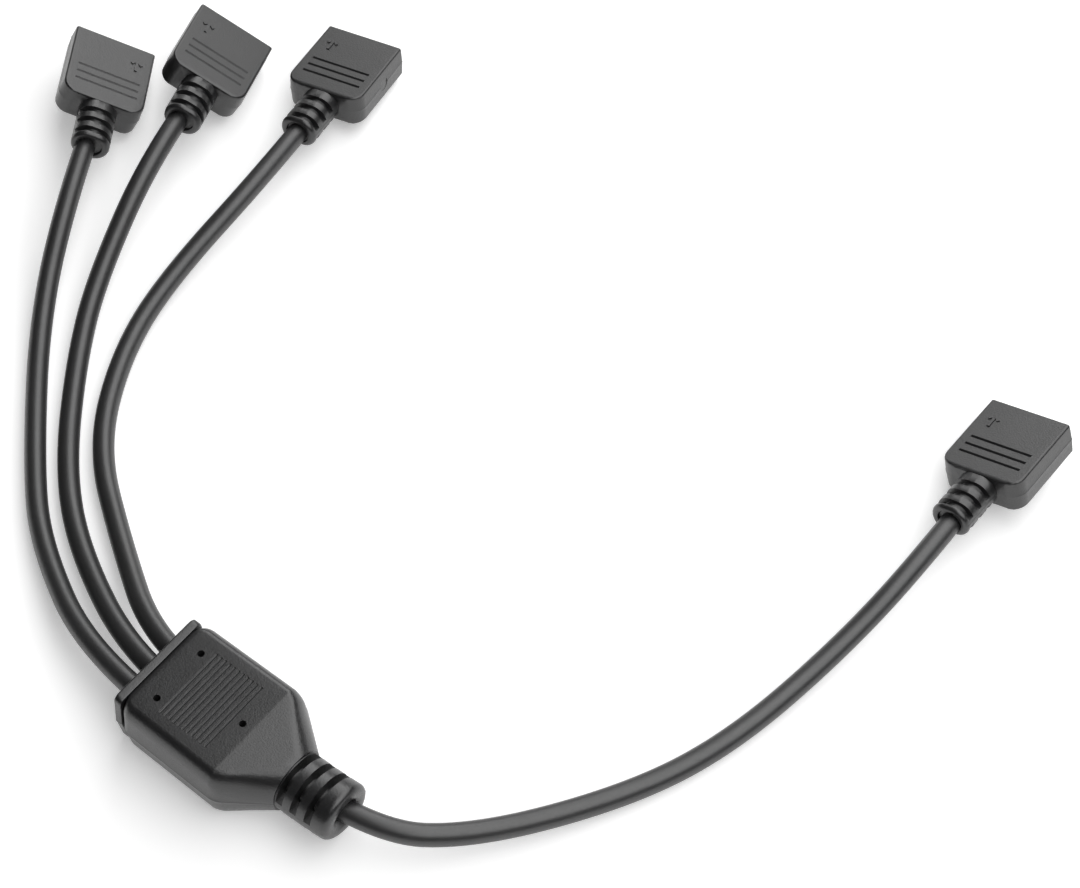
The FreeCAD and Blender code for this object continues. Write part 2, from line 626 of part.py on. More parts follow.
def make_socket():
    """Four-way socket strip: square pin holes in front, contact chambers behind."""
    body = doc.addObject("PartDesign::Body", "socket_strip")
    outline = new_sketch(body, "XZ_Plane", "socket_outline", "-(%s)" % MATING_Y)
    rectangle(outline, "0", "0", "dims.socket_width", "dims.socket_height")
    pad(body, outline, "socket_block", "dims.socket_depth")
    hole = new_sketch(body, "XZ_Plane", "socket_hole_outline", "-(%s)" % MATING_Y)
    rectangle(hole, contact_x(0), "0", "dims.pin_hole", "dims.pin_hole")
    holes = pocket(body, hole, "socket_hole", "dims.pin_hole_depth", backwards=True)
    row_of(body, holes, "X_Axis", "socket_holes", PIN_COUNT, "dims.pin_pitch")
    chamber = new_sketch(body, "XZ_Plane", "socket_chamber_outline", "-(%s)" % CONTACT_Y)
    rectangle(chamber, contact_x(0), "0", "dims.contact_size", "dims.contact_size")
    chambers = pocket(body, chamber, "socket_chamber", "dims.socket_depth - dims.pin_hole_depth",
                      backwards=True)
    row_of(body, chambers, "X_Axis", "socket_chambers", PIN_COUNT, "dims.pin_pitch")
    return body


def make_contact(index):
    """Square spring contact folded from sheet, with a flat tail."""
    label = "contact_%d" % (index + 1)
    body = doc.addObject("PartDesign::Body", label)
    x = contact_x(index)
    ring = new_sketch(body, "XZ_Plane", label + "_ring", "-(%s)" % CONTACT_Y)
    rectangle(ring, x, "0", "dims.contact_size", "dims.contact_size")
    inner = "(dims.contact_size - 2 * dims.contact_wall)"
    rectangle(ring, x, "0", inner, inner)
    pad(body, ring, label + "_box", "dims.contact_length")
    strip = new_sketch(body, "XZ_Plane", label + "_strip", "-(%s)" % CONTACT_BACK_Y)
    rectangle(strip, x, CONTACT_TAIL_Z, "dims.contact_tail_width", "dims.contact_wall")
    pad(body, strip, label + "_tail", "dims.contact_tail")
    return body


def make_plug_cores():
    """Four cores that fan out from the jacket to the contacts' tails."""
    cores = []
    for index in range(PIN_COUNT):
        side = -1 if index < PIN_COUNT / 2 else 1
        row = 1 if index in (0, PIN_COUNT - 1) else -1
        ends = [
            ("%d * dims.core_spread / 2" % side, JACKET_Y, "%d * dims.core_spread / 2" % row),
            (contact_x(index), CONTACT_END_Y, CONTACT_TAIL_Z),
        ]
        rings = []
        for x, y, z in ends:
            ring = doc.addObject("Part::Circle", "plug_core_ring")
            bind(ring, "Radius", "dims.core_dia / 2")
            ring.Placement = Placement(Vector(), Rotation(Vector(1, 0, 0), 90))
            bind(ring, "Placement.Base.x", x)
            bind(ring, "Placement.Base.y", y)
            bind(ring, "Placement.Base.z", z)
            rings.append(ring)
        core = doc.addObject("Part::Loft", "plug_core_%d" % (index + 1))
        core.Sections = rings
        core.Solid = True
        core.Ruled = True
        cores.append(core)
    group = doc.addObject("Part::Compound", "plug_core_group")
    group.Links = cores
    doc.recompute()
    return group


def lying_pose(shape, lie):
    """Pose of a plug whose lowest point touches the surface."""
    turn = Rotation(Vector(0, 0, 1), lie["heading"])
    turn = turn.multiply(Rotation(Vector(1, 0, 0), lie["tip"]))
    turn = turn.multiply(Rotation(Vector(0, 1, 0), lie["roll"]))
    trial = shape.copy()
    trial.Placement = Placement(Vector(), turn)
    lowest = trial.optimalBoundingBox(False, False).ZMin
    return Placement(Vector(lie["x"], lie["y"], -lowest), turn)


plug_form = make_plug_form()
contacts = [make_contact(index) for index in range(PIN_COUNT)]
plug_cores = make_plug_cores()
plug_round_contacts = cut_away(plug_form, contacts, "plug_round_contacts")
plug_pieces = {"housing": cut_away(plug_round_contacts, [plug_cores], "plug_round_cores")}
plug_pieces["socket"] = make_socket()
for index, contact in enumerate(contacts):
    plug_pieces["contact_%d" % (index + 1)] = contact
plug_pieces["cores"] = plug_cores

poses = {}
for name, lie in PLUGS.items():
    pose = lying_pose(plug_pieces["housing"].Shape, lie)
    poses[name] = pose
    mating = pose.multVec(Vector(0, size(MATING_Y), 0))
    facing = pose.Rotation.multVec(Vector(0, 1, 0))
    print("plug_%s mating face" % name, [round(value, 3) for value in mating],
          "facing", [round(value, 4) for value in facing])
    for piece, model in plug_pieces.items():
        copy = doc.addObject("Part::Compound", "plug_%s_%s" % (name, piece))
        copy.Links = [model]
        copy.Placement = pose
        keep(copy.Name, copy)
doc.recompute()


# Leads

def route_points(name):
    """Whole route of a lead, from inside the hub to inside its plug."""
    route = ROUTES[name]
    middle_z = size(HALF_HUB)
    if name == "input":
        end_x = size(RELIEF_X)
        start = [Vector(end_x - size("dims.input_grip"), 0, middle_z),
                 Vector(end_x + route["hub_lead"], 0, middle_z)]
    else:
        end_x = size(COLLAR_X)
        lane_y = route["lane"] * size("dims.lead_spacing")
        start = [Vector(end_x + size("dims.lead_grip"), lane_y, middle_z),
                 Vector(end_x - route["hub_lead"], lane_y, middle_z)]
    pose = poses[name]
    finish = [pose.multVec(Vector(0, size(TAIL_Y) - route["plug_lead"], 0)),
              pose.multVec(Vector(0, size(JACKET_Y), 0))]
    return start + [Vector(*point) for point in route["points"]] + finish


def rounded_path(points):
    """Straight runs joined by tangent arcs, with the radius of each arc."""
    edges = []
    radii = []
    here = points[0]
    for before, corner, after in zip(points, points[1:], points[2:]):
        run_in = corner - before
        run_out = after - corner
        half_turn = run_in.getAngle(run_out) / 2
        reach = ARC_SHARE * min(run_in.Length, run_out.Length)
        radius = reach / math.tan(half_turn)
        run_in.normalize()
        run_out.normalize()
        start = corner - run_in * reach
        end = corner + run_out * reach
        inward = (run_out - run_in).normalize()
        middle = corner + inward * (radius / math.cos(half_turn) - radius)
        edges.append(Part.LineSegment(here, start).toShape())
        edges.append(Part.Arc(start, middle, end).toShape())
        radii.append(radius)
        here = end
    edges.append(Part.LineSegment(here, points[-1]).toShape())
    return Part.Wire(edges), radii


def make_cord(name):
    points = route_points(name)
    wire, radii = rounded_path(points)
    path = doc.addObject("Part::Feature", "cord_%s_path" % name)
    path.Shape = wire
    section = doc.addObject("Part::Circle", "cord_%s_section" % name)
    bind(section, "Radius", "dims.cord_dia / 2")
    section.Placement = Placement(points[0], Rotation(Vector(0, 0, 1), points[1] - points[0]))
    cord = doc.addObject("Part::Sweep", "cord_%s" % name)
    cord.Sections = [section]
    cord.Spine = (path, ["Edge%d" % (i + 1) for i in range(len(wire.Edges))])
    cord.Solid = True
    doc.recompute()
    expected = math.pi / 4 * size("dims.cord_dia") ** 2 * wire.Length
    print("cord_%s length %.1f" % (name, wire.Length),
          "volume over section x length %.4f" % (cord.Shape.Volume / expected))
    print("  radii", [round(radius, 1) for radius in radii])
    print("  points", [tuple(round(value, 2) for value in point) for point in points])
    return cord


for name in ROUTES:
    keep("cord_%s" % name, make_cord(name))

# Every object is sound before anything is written.

doc.recompute()
for item in doc.Objects:
    assert "Invalid" not in item.State and "Error" not in item.State, item.Name
for node, thing in nodes.items():
    assert not thing.Shape.isNull() and thing.Shape.isValid(), node
    print(node, "solids", len(thing.Shape.Solids), "volume %.2f" % thing.Shape.Volume)

os.makedirs("parts", exist_ok=True)
for node, thing in nodes.items():
    thing.Shape.exportStep(os.path.join("parts", node + ".step"))
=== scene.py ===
# %% [markdown]
# # A splitter cable for light strips
# This lesson dresses the solids of a small splitter cable: a moulded hub, one input lead, three output
# leads, and a flat socket plug on the end of each lead. The solids come in as a fixed frame, in metres,
# with +X along the hub and the table at z = 0. Sizes below are written in millimetres and turned into metres,
# because a maker thinks of such a small thing in millimetres.

# %% load the solids
import json
import math

import bmesh
import bpy
from mathutils import Matrix, Vector


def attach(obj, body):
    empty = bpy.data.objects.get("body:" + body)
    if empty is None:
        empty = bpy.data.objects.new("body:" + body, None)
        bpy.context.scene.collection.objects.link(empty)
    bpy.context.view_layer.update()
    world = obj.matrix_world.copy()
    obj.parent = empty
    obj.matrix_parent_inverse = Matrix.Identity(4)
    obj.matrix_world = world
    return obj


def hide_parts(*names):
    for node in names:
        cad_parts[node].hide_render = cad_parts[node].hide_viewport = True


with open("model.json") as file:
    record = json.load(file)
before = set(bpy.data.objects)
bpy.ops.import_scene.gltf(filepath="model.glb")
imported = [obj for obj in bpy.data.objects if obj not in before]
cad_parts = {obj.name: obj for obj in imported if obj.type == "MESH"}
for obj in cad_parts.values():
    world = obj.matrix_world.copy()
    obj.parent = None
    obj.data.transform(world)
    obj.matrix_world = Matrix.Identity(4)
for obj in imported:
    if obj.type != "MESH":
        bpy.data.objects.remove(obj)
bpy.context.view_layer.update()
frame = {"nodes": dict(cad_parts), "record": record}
nodes = frame["nodes"]
MM = 0.001


# %% [markdown]
# ## The camera
# The photograph looks down on the table from about 57 degrees above it, from less than half a metre away.
# A camera can be pushed about by eye until the picture fits. Here the place, the aim and the lens were worked
# out from the square corners of the hub and the plugs, which leaves less to chance.

# %% camera
CAMERA_PLACE = Vector((143.8, -111.6, 356.8)) * MM
CAMERA_AIM = Vector((-2.38, 70.47, 0.0)) * MM
CAMERA_LENS, SENSOR_WIDTH = 89.27, 36.0
NEAREST_SEEN = 10.0

bpy.ops.object.select_all(action="DESELECT")
bpy.ops.object.camera_add(location=CAMERA_PLACE)
camera = bpy.context.object
camera.name = "camera"
camera.rotation_euler = (CAMERA_AIM - CAMERA_PLACE).to_track_quat("-Z", "Y").to_euler()
camera.data.lens = CAMERA_LENS
camera.data.sensor_width = SENSOR_WIDTH
camera.data.clip_start = NEAREST_SEEN * MM
bpy.context.scene.camera = camera
print("camera distance in mm:", round((CAMERA_AIM - CAMERA_PLACE).length / MM, 1))

# %% [markdown]
# ## The leads
# Each lead is a jacket 3.5 mm thick that leaves the hub straight, sinks to the table and rises again into its
# plug. It could be a circle swept along a chain of edges, or a Bezier curve with two handles at each point.
# A quadratic NURBS spline is chosen: it takes the route's points as its control points, and all its bends are
# smooth. The order and the end points are set after the points, because Blender resets them when points are
# added.

# %% routes of the leads
ROUTES = {
    "left": [
        (-12.3, -3.9, 6.0), (-28.6, -3.9, 6.0), (-49.8, 6.4, 2.2), (-61.8, 16.9, 1.75),
        (-81.4, 38.2, 1.9), (-91.3, 57.2, 9.5), (-100.67, 73.06, 7.27),
    ],
    "middle": [
        (-12.3, 0.0, 6.0), (-23.7, 0.0, 6.0), (-44.6, 9.5, 2.4), (-57.4, 19.5, 1.75), (-70.1, 35.1, 1.75),
        (-78.0, 48.2, 3.4), (-84.4, 69.9, 11.1), (-89.76, 87.19, 8.04),
    ],
    "right": [
        (-12.3, 3.9, 6.0), (-23.0, 3.9, 6.0), (-40.5, 14.6, 2.5), (-55.8, 25.2, 1.75), (-65.2, 40.2, 1.75),
        (-69.5, 55.6, 2.4), (-69.2, 81.9, 7.55), (-73.26, 100.0, 5.11),
    ],
    "input": [
        (8.5, 0.0, 6.0), (23.0, 0.5, 6.1), (34.3, 10.3, 3.6), (47.0, 30.2, 1.75), (53.4, 46.5, 1.75),
        (56.9, 68.2, 2.7), (58.8, 87.0, 6.7), (58.05, 105.01, 5.86),
    ],
}
print("points on the routes:", {name: len(points) for name, points in ROUTES.items()})

# %% jackets along the routes
CORD_DIAMETER = 3.5
STEPS_ALONG, STEPS_ROUND = 16, 6


def make_lead(name):
    """A jacketed lead along its route."""
    curve = bpy.data.curves.new("lead_" + name, "CURVE")
    curve.dimensions = "3D"
    spline = curve.splines.new("NURBS")
    points = ROUTES[name]
    spline.points.add(len(points) - 1)
    for point, place in zip(spline.points, points):
        point.co = (*(Vector(place) * MM), 1.0)
    spline.order_u = 3
    spline.use_endpoint_u = True
    spline.resolution_u = STEPS_ALONG
    curve.bevel_depth = CORD_DIAMETER / 2 * MM
    curve.bevel_resolution = STEPS_ROUND
    curve.use_fill_caps = True
    lead = bpy.data.objects.new("lead_" + name, curve)
    bpy.context.collection.objects.link(lead)
    return lead


leads = {name: make_lead(name) for name in ROUTES}
print("leads:", sorted(leads))

# %% [markdown]
# ## Skins made from rings
# The hub and the plugs are soft mouldings whose section changes along their length: a flat block narrows into
# a round strain relief. A box and a cylinder joined by a Boolean would leave a hard seam there. By hand it is
# a ring of edges that is extruded again and again, with each new ring pushed into the next section, and that
# is the way taken here. A ring has the same number of points everywhere, so the skin is all clean four-sided
# faces. The small step at the parting line is the flash that the two halves of the mould leave.

# %% a quarter of a section
SIDE_STEPS, BEND_STEPS, FLAT_STEPS = 4, 8, 5
QUARTER_STEPS = SIDE_STEPS + BEND_STEPS + FLAT_STEPS
FLASH_HEIGHT, FLASH_REACH = 0.05, 0.14


def drafted_quarter(half_width, half_height, radius, draft, tall=1.0):
    """Up the leaning side, round a corner that may be taller than wide, and along the flat."""
    lean = math.radians(draft)
    height = radius * tall
    first = math.atan(tall * math.tan(lean))
    foot = half_height - height + height * math.sin(first)
    middle = half_width - foot * math.tan(lean) - radius * math.cos(first)
    points = [(half_width + FLASH_HEIGHT, 0.0)]
    for step in range(SIDE_STEPS - 1):
        up = FLASH_REACH + (foot - FLASH_REACH) * step / (SIDE_STEPS - 1)
        points.append((half_width - up * math.tan(lean), up))
    for step in range(BEND_STEPS):
        turn = first + (math.pi / 2 - first) * step / BEND_STEPS
        points.append((middle + radius * math.cos(turn), half_height - height + height * math.sin(turn)))
    for step in range(FLAT_STEPS + 1):
        points.append((middle * (1 - step / FLAT_STEPS), half_height))
    return points


def round_quarter(radius):
    """A quarter of a circle with the same number of points, and the same flash at its side."""
    points = []
    for step in range(QUARTER_STEPS + 1):
        turn = math.pi / 2 * step / QUARTER_STEPS
        reach = radius + (FLASH_HEIGHT if step == 0 else 0.0)
        points.append((reach * math.cos(turn), reach * math.sin(turn)))
    return points


print("points on a quarter:", len(round_quarter(1.0)))

# %% whole sections and flex slots
RING_POINTS = 4 * QUARTER_STEPS
SLOT_WIDTH, SPINE_ANGLE = 1.2, 13.0


def whole_ring(quarter):
    """The four quarters of a section, as one ring of points."""
    back = list(reversed(quarter))
    ring = quarter[:-1]
    ring += [(-a, b) for a, b in back[:-1]]
    ring += [(-a, -b) for a, b in quarter[:-1]]
    ring += [(a, -b) for a, b in back[:-1]]
    return ring


def section(along, half_width, half_height, radius, draft, tall=1.0):
    """A flat section with leaning sides, at its distance along the skin."""
    return along, whole_ring(drafted_quarter(half_width, half_height, radius, draft, tall))


def round_section(along, radius):
    return along, whole_ring(round_quarter(radius))


def slotted(ring, floor_radius):
    """The ring inside a flex slot: top and bottom drop to the floor, and the spines at the sides stay."""
    points = []
    for a, b in ring:
        reach = math.hypot(a, b)
        in_slot = abs(b) > reach * math.sin(math.radians(SPINE_ANGLE))
        points.append((a * floor_radius / reach, b * floor_radius / reach) if in_slot else (a, b))
    return points


def slot_rings(starts, full, floor_radius):
    """At each start the ring drops into a slot, and a slot's width further on it comes up again."""
    low = slotted(full, floor_radius)
    rings = []
    for start in starts:
        rings += [(start, full), (start, low), (start + SLOT_WIDTH, low), (start + SLOT_WIDTH, full)]
    return rings


print("points on a ring:", RING_POINTS)

# %% [markdown]
# The rings become a skin in edit mode. A circle is the first ring, and each extrusion is the next. The mesh
# could be filled from lists of points and faces, but the extrusion makes the faces by itself. A point has to
# know its seat on the ring, so each one carries the number of its seat in an integer layer, which an extrusion
# copies along with the point.

# %% extrude a skin ring by ring
MERGE_DISTANCE = 0.002


def select_only(piece):
    bpy.ops.object.select_all(action="DESELECT")
    bpy.context.view_layer.objects.active = piece
    piece.select_set(True)


def ring_skin(name, rings, to_place):
    """A closed skin through rings of (distance along, points), placed by to_place(along, a, b) in mm."""
    bpy.ops.object.select_all(action="DESELECT")
    bpy.ops.mesh.primitive_circle_add(vertices=RING_POINTS, radius=MM, fill_type="NGON")
    piece = bpy.context.object
    piece.name = name
    piece.data.name = name
    bpy.ops.object.mode_set(mode="EDIT")
    mesh = bmesh.from_edit_mesh(piece.data)
    seat = mesh.verts.layers.int.new("seat")
    for index, vert in enumerate(mesh.verts):
        vert[seat] = index
    for number, (along, points) in enumerate(rings):
        # The ring that was made last is still selected, so it is the one that is extruded.
        if number:
            bpy.ops.mesh.extrude_region_move()
        mesh = bmesh.from_edit_mesh(piece.data)
        seat = mesh.verts.layers.int["seat"]
        for vert in mesh.verts:
            if vert.select:
                vert.co = Vector(to_place(along, *points[vert[seat]])) * MM
        bmesh.update_edit_mesh(piece.data)
    bpy.ops.mesh.select_all(action="SELECT")
    bpy.ops.mesh.remove_doubles(threshold=MERGE_DISTANCE * MM)
    bpy.ops.mesh.normals_make_consistent(inside=False)
    bpy.ops.object.mode_set(mode="OBJECT")
    return piece


print("points within", MERGE_DISTANCE, "mm are merged")

# %% [markdown]
# ## The hub
# The hub is one moulding: a thin collar that the output leads leave from, a flat block with leaning sides, a
# neck that narrows, and a round strain relief. It could be put together from four solids and smoothed at the
# joins. One skin is chosen, because the real hub has no joins: rings follow it from the collar's face to the
# dish round the input lead. The shoulder takes several rings, so that it turns softly.

# %% collar and block
HALF_HEIGHT, HUB_DRAFT = 6.0, 6.7
HUB_EDGE, HUB_EDGE_TALL = 1.9, 1.7
COLLAR_FACE, BLOCK_BACK = -18.3, -16.9
COLLAR_HALF, COLLAR_HALF_HEIGHT, COLLAR_EDGE, COLLAR_FLARE = 9.25, 5.7, 1.0, 0.2
# How far each ring of the collar is from its face, and how far it is drawn in.
COLLAR_STEPS = (
    (0.0, 0.3), (0.02, 0.18), (0.09, 0.09), (0.18, 0.02), (0.3, 0.0), (1.2, 0.0), (1.34, 0.06), (1.4, 0.2),
)
BACK_HALF, BACK_CORNER, BACK_RIM = 9.85, 2.0, 0.8
CORNER_STEPS = 6


def collar_rings():
    """A thin plate with a rounded rim, a little taller at its face."""
    rings = []
    for along, inset in COLLAR_STEPS:
        flare = COLLAR_FLARE * (1 - along / (BLOCK_BACK - COLLAR_FACE))
        rings.append(section(COLLAR_FACE + along, COLLAR_HALF - inset, COLLAR_HALF_HEIGHT - inset + flare,
                             COLLAR_EDGE, HUB_DRAFT))
    return rings


def block_back_rings():
    """The back of the block, with round corners at the sides and a smaller rounding above and below."""
    rings = []
    for step in range(CORNER_STEPS + 1):
        turn = math.pi / 2 * step / CORNER_STEPS
        along = BACK_CORNER * (1 - math.cos(turn))
        left = max(0.0, 1 - along / BACK_RIM)
        rings.append(section(BLOCK_BACK + along, BACK_HALF - BACK_CORNER * (1 - math.sin(turn)),
                             HALF_HEIGHT - BACK_RIM * (1 - math.sqrt(1 - left ** 2)),
                             HUB_EDGE, HUB_DRAFT, HUB_EDGE_TALL))
    return rings


print("rings of collar and block:", len(collar_rings()) + len(block_back_rings()))

# %% neck
SHOULDER, SHOULDER_HALF, SHOULDER_ROUND = 2.0, 10.05, 3.5
NECK_END, NECK_HALF, NECK_HALF_HEIGHT = 9.05, 4.95, 5.1
NECK_EDGE, NECK_EDGE_GROWTH, NECK_DRAFT = 4.5, 0.7, 0.67
NECK_SHARES = (0.45, 0.6, 0.8, 1.0)


def between(start, end, share):
    return start + (end - start) * share


def neck_rings():
    """From where the shoulder starts to turn, the neck gets narrower, lower and rounder."""
    turn = math.atan((SHOULDER_HALF - NECK_HALF) / (NECK_END - SHOULDER))
    crease = SHOULDER - SHOULDER_ROUND * math.tan(turn / 2)
    outline = []
    for step in range(CORNER_STEPS + 1):
        part = turn * step / CORNER_STEPS
        outline.append((crease + SHOULDER_ROUND * math.sin(part),
                        SHOULDER_HALF - SHOULDER_ROUND * (1 - math.cos(part))))
    for share in NECK_SHARES:
        outline.append((between(SHOULDER, NECK_END, share), between(SHOULDER_HALF, NECK_HALF, share)))
    rings = []
    for along, half_width in outline:
        share = (along - crease) / (NECK_END - crease)
        rings.append(section(along, half_width, between(HALF_HEIGHT, NECK_HALF_HEIGHT, share),
                             between(HUB_EDGE, NECK_EDGE, share ** NECK_EDGE_GROWTH),
                             between(HUB_DRAFT, NECK_DRAFT, share), between(HUB_EDGE_TALL, 1.0, share)))
    return rings


print("rings of the neck:", len(neck_rings()))

# %% strain relief and skin of the hub
RELIEF_END, RELIEF_RADIUS, RELIEF_ROUND, RELIEF_STEPS = 18.3, 4.8, 1.0, 4
RELIEF_SWAY, RELIEF_RISE = 0.4, 0.2
SLOT_STARTS, SLOT_FLOOR = (9.25, 11.85, 14.45), 2.6
# The bore is a little tighter than the lead, so that the skin closes on the jacket.
BORE_RADIUS = 1.7
# Radius and depth of each ring of the dish round the lead.
DISH = ((2.95, 0.0), (2.65, 0.12), (1.95, 0.8), (BORE_RADIUS, 1.1))


def relief_rings():
    """A round sleeve with three flex slots, a rounded end and a shallow dish."""
    along, full = round_section(NECK_END, RELIEF_RADIUS)
    rings = [(along, full), *slot_rings(SLOT_STARTS, full, SLOT_FLOOR)]
    for step in range(RELIEF_STEPS + 1):
        turn = math.pi / 2 * step / RELIEF_STEPS
        rings.append(round_section(RELIEF_END - RELIEF_ROUND * (1 - math.sin(turn)),
                                   RELIEF_RADIUS - RELIEF_ROUND * (1 - math.cos(turn))))
    for radius, depth in DISH:
        rings.append(round_section(RELIEF_END - depth, radius))
    return rings


def hub_place(along, across, up):
    """The strain relief is pulled a little aside and up by its lead, more and more towards its end."""
    pull = max(0.0, (along - NECK_END) / (RELIEF_END - NECK_END)) ** 2
    return along, across + RELIEF_SWAY * pull, up + HALF_HEIGHT + RELIEF_RISE * pull


hub_rings = collar_rings() + block_back_rings() + neck_rings() + relief_rings()
hub = ring_skin("hub_moulding", hub_rings, hub_place)
print("hub skin:", len(hub.data.polygons), "faces")

# %% [markdown]
# ## Grooves and holes of the hub
# The block has fine grip grooves, and holes that the mould's locating pins left. They could be inset and
# pushed in, face by face, but the skin's faces don't lie where the grooves do. So they are cut out with a
# Boolean, on the top and on the underside alike. The grooves have leaning walls, so that one wall catches the
# light and the other stays dark. A Bevel then takes the sharpness off the square edges, as soft PVC never has
# a sharp one.

# %% cutters
PIN_SIDES = 32


def groove_cutter(name, middle, sides, axis):
    """A box set on edge about an axis, so that it cuts a V. Its place is in its mesh."""
    bpy.ops.object.select_all(action="DESELECT")
    bpy.ops.mesh.primitive_cube_add(size=1.0)
    cutter = bpy.context.object
    cutter.name = name
    slim = [1.0 if letter == axis else math.sqrt(0.5) for letter in "XYZ"]
    cutter.data.transform(Matrix.Diagonal((*slim, 1.0)) @ Matrix.Rotation(math.radians(45.0), 4, axis))
    to_size = Matrix.Diagonal((*(Vector(sides) * MM), 1.0))
    cutter.data.transform(Matrix.Translation(Vector(middle) * MM) @ to_size)
    return cutter


def pin_cutter(name, middle, radius, depth):
    """A short upright pin to cut a round hole with."""
    bpy.ops.object.select_all(action="DESELECT")
    bpy.ops.mesh.primitive_cylinder_add(vertices=PIN_SIDES, radius=radius * MM, depth=depth * MM)
    cutter = bpy.context.object
    cutter.name = name
    cutter.data.transform(Matrix.Translation(Vector(middle) * MM))
    return cutter


print("sides of a pin:", PIN_SIDES)

# %% Booleans and soft edges
def joined(tools):
    bpy.ops.object.select_all(action="DESELECT")
    for tool in tools:
        tool.select_set(True)
    bpy.context.view_layer.objects.active = tools[0]
    bpy.ops.object.join()
    return bpy.context.object


def combine(piece, tools, operation):
    """Take the tools out of a piece, or make them one with it."""
    tool = joined(tools)
    select_only(piece)
    modifier = piece.modifiers.new("combine", "BOOLEAN")
    modifier.operation = operation
    modifier.solver = "EXACT"
    modifier.object = tool
    bpy.ops.object.modifier_apply(modifier="combine")
    bpy.data.objects.remove(tool)
    print(piece.name, "after", operation.lower() + ":", len(piece.data.polygons), "faces")


def soften(piece, width, angle, segments, crisp):
    """Round the edges sharper than the angle, then shade all smoothly but those still sharper than crisp."""
    select_only(piece)
    modifier = piece.modifiers.new("soft_edges", "BEVEL")
    modifier.width = width * MM
    modifier.segments = segments
    modifier.limit_method = "ANGLE"
    modifier.angle_limit = math.radians(angle)
    modifier.miter_outer = "MITER_ARC"
    bpy.ops.object.modifier_apply(modifier="soft_edges")
    bpy.ops.object.shade_smooth_by_angle(angle=math.radians(crisp))
    modifier = piece.modifiers.new("even_shading", "WEIGHTED_NORMAL")
    modifier.keep_sharp = True
    bpy.ops.object.modifier_apply(modifier="even_shading")
    print(piece.name, "softened:", len(piece.data.polygons), "faces")


print("ready to combine and soften")

# %% cut the hub
GRIP_FIRST, GRIP_PITCH, GRIP_COUNT = -11.3, 0.875, 11
GRIP_WIDTH, GRIP_LENGTH, GRIP_DEPTH = 0.52, 12.3, 0.21
LOCATORS, LOCATOR_RADIUS, LOCATOR_DEPTH = ((-13.2, -4.7), (-13.2, 4.7), (-0.7, 0.0)), 0.55, 3.6
hub_cutters = []
for top in (1, -1):
    surface = HALF_HEIGHT + top * HALF_HEIGHT
    for row in range(GRIP_COUNT):
        hub_cutters.append(groove_cutter("grip_groove", (GRIP_FIRST + row * GRIP_PITCH, 0.0, surface),
                                         (GRIP_WIDTH, GRIP_LENGTH, 2 * GRIP_DEPTH), "Y"))
    for x, y in LOCATORS:
        hub_cutters.append(pin_cutter("locator", (x, y, surface), LOCATOR_RADIUS, 2 * LOCATOR_DEPTH))
combine(hub, hub_cutters, "DIFFERENCE")
soften(hub, width=0.15, angle=80.0, segments=3, crisp=35.0)

# %% [markdown]
# ## The plugs
# The four plugs are alike: a flat body with rounded corners at the lead's end, and an oval strain relief with
# three flex slots. Each could be modelled where it lies, but one is enough: it is skinned at the origin, from
# the recess round its lead to the bay that holds its socket strip, and copied.

# %% strain relief of a plug
PLUG_HALF, PLUG_HALF_LENGTH, PLUG_HALF_HEIGHT = 7.25, 7.825, 2.85
TAIL_HALF, TAIL_HALF_HEIGHT, TAIL_EDGE, TAIL_DRAFT = 3.25, 2.75, 2.6, 0.5
TAIL_LENGTH, TAIL_ROUND, TAIL_STEPS = 8.5, 0.6, 3
TAIL_SLOTS, TAIL_FLOOR = (6.45, 4.075, 1.7), 2.2
RECESS_RADIUS, RECESS_FLOOR, RECESS_DEPTH = 2.1, 2.0, 0.5
PLUG_FRONT = -PLUG_HALF_LENGTH


def tail_rings():
    """From the recess round the lead, over the flex slots, to the plug's body."""
    end = PLUG_FRONT - TAIL_LENGTH
    rings = [round_section(end + RECESS_DEPTH, BORE_RADIUS), round_section(end + RECESS_DEPTH, RECESS_FLOOR),
             round_section(end, RECESS_RADIUS)]
    for step in range(TAIL_STEPS + 1):
        turn = math.pi / 2 * step / TAIL_STEPS
        inset = TAIL_ROUND * (1 - math.sin(turn))
        rings.append(section(end + TAIL_ROUND * (1 - math.cos(turn)), TAIL_HALF - inset,
                             TAIL_HALF_HEIGHT - inset, TAIL_EDGE - inset, TAIL_DRAFT))
    full = rings[-1][1]
    rings += slot_rings([PLUG_FRONT - slot - SLOT_WIDTH for slot in TAIL_SLOTS], full, TAIL_FLOOR)
    return [*rings, (PLUG_FRONT, full)]


print("rings of a plug's strain relief:", len(tail_rings()))

# %% body, bay and skin of a plug
PLUG_DRAFT, PLUG_RIM, PLUG_CORNER = 3.0, 0.4, 2.5
# How far the corner has turned at each ring, in degrees, and how far the rim drops there.
PLUG_CORNER_STEPS = (
    (0.0, 0.4), (17.6, 0.117), (32.9, 0.0), (46.0, 0.0), (60.0, 0.0), (75.0, 0.0), (90.0, 0.0),
)
# How far each ring of the mating end's rim is from the face, and how far it is drawn in.
MATING_RIM = ((0.16, 0.0), (0.05, 0.05), (0.0, 0.16))
BAY_HALF, BAY_HALF_HEIGHT, BAY_DEPTH, BAY_EDGE = 5.05, 1.27, 8.5, 0.06


def body_rings():
    """The flat body, from its round corners to its square mating end."""
    rings = []
    for degrees, drop in PLUG_CORNER_STEPS:
        turn = math.radians(degrees)
        rings.append(section(PLUG_FRONT + PLUG_CORNER * (1 - math.cos(turn)),
                             PLUG_HALF - PLUG_CORNER + PLUG_CORNER * math.sin(turn),
                             PLUG_HALF_HEIGHT - drop, PLUG_RIM, PLUG_DRAFT))
    for back, inset in MATING_RIM:
        rings.append(section(PLUG_HALF_LENGTH - back, PLUG_HALF - inset, PLUG_HALF_HEIGHT - inset,
                             PLUG_RIM, PLUG_DRAFT))
    return rings


